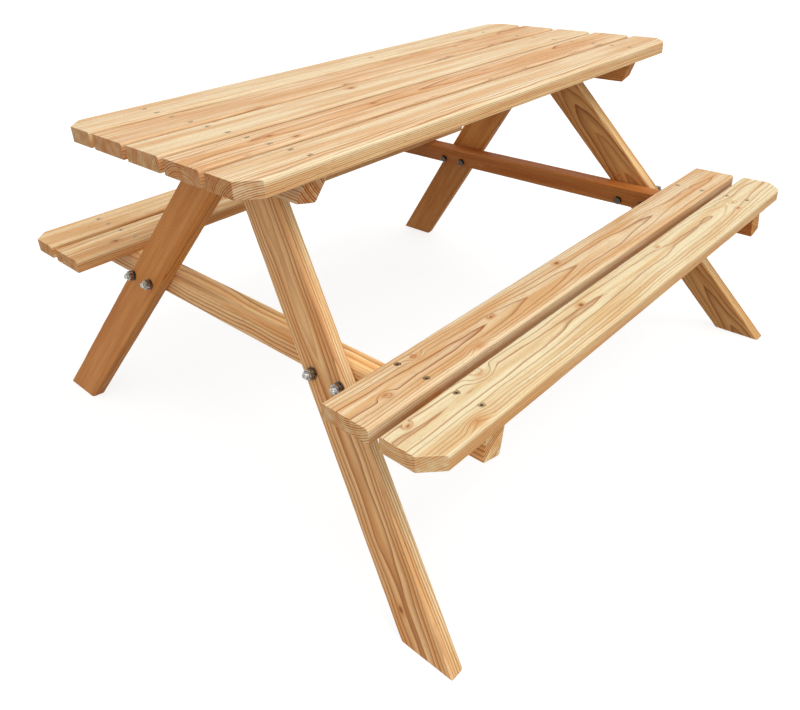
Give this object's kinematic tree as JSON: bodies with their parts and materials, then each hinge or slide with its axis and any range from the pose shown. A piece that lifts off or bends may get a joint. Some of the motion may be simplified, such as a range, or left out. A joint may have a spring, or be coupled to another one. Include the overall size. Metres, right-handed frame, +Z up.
{
  "type": "kids picnic table",
  "caption": "Small wooden picnic table for children: slatted rectangular top with cut-off corners, a slatted bench on each long side, and leaning A-shaped end frames.",
  "frame": {"origin": "on the floor under the middle of the table", "axes": "+X along the table's length, +Y across it towards the left bench, +Z up"},
  "size_m": [0.9, 0.871, 0.504],
  "materials": {
    "slats": "planed softwood, clear finish, pale honey",
    "frame_wood": "planed softwood, clear finish, warm orange brown",
    "hardware": "bright zinc plated"
  },
  "bodies": {
    "root": {"top_slat_1": "slats", "top_slat_2": "slats", "top_slat_3": "slats", "top_slat_4": "slats", "top_slat_5": "slats", "bench_left_slat_1": "slats", "bench_left_slat_2": "slats", "bench_right_slat_1": "slats", "bench_right_slat_2": "slats", "batten_near": "frame_wood", "batten_far": "frame_wood", "beam_near": "frame_wood", "beam_far": "frame_wood", "leg_near_left": "frame_wood", "leg_near_right": "frame_wood", "leg_far_left": "frame_wood", "leg_far_right": "frame_wood", "bolt_near_left_outer": "hardware", "bolt_near_left_inner": "hardware", "bolt_near_left_head": "hardware", "bolt_near_right_outer": "hardware", "bolt_near_right_inner": "hardware", "bolt_near_right_head": "hardware", "bolt_far_left_outer": "hardware", "bolt_far_left_inner": "hardware", "bolt_far_left_head": "hardware", "bolt_far_right_outer": "hardware", "bolt_far_right_inner": "hardware", "bolt_far_right_head": "hardware", "washer_near_left_outer": "hardware", "washer_near_left_inner": "hardware", "washer_near_left_head": "hardware", "washer_near_right_outer": "hardware", "washer_near_right_inner": "hardware", "washer_near_right_head": "hardware", "washer_far_left_outer": "hardware", "washer_far_left_inner": "hardware", "washer_far_left_head": "hardware", "washer_far_right_outer": "hardware", "washer_far_right_inner": "hardware", "washer_far_right_head": "hardware", "nut_near_left_outer": "hardware", "nut_near_left_inner": "hardware", "nut_near_left_head": "hardware", "nut_near_right_outer": "hardware", "nut_near_right_inner": "hardware", "nut_near_right_head": "hardware", "nut_far_left_outer": "hardware", "nut_far_left_inner": "hardware", "nut_far_left_head": "hardware", "nut_far_right_outer": "hardware", "nut_far_right_inner": "hardware", "nut_far_right_head": "hardware"}
  },
  "joints": []
}
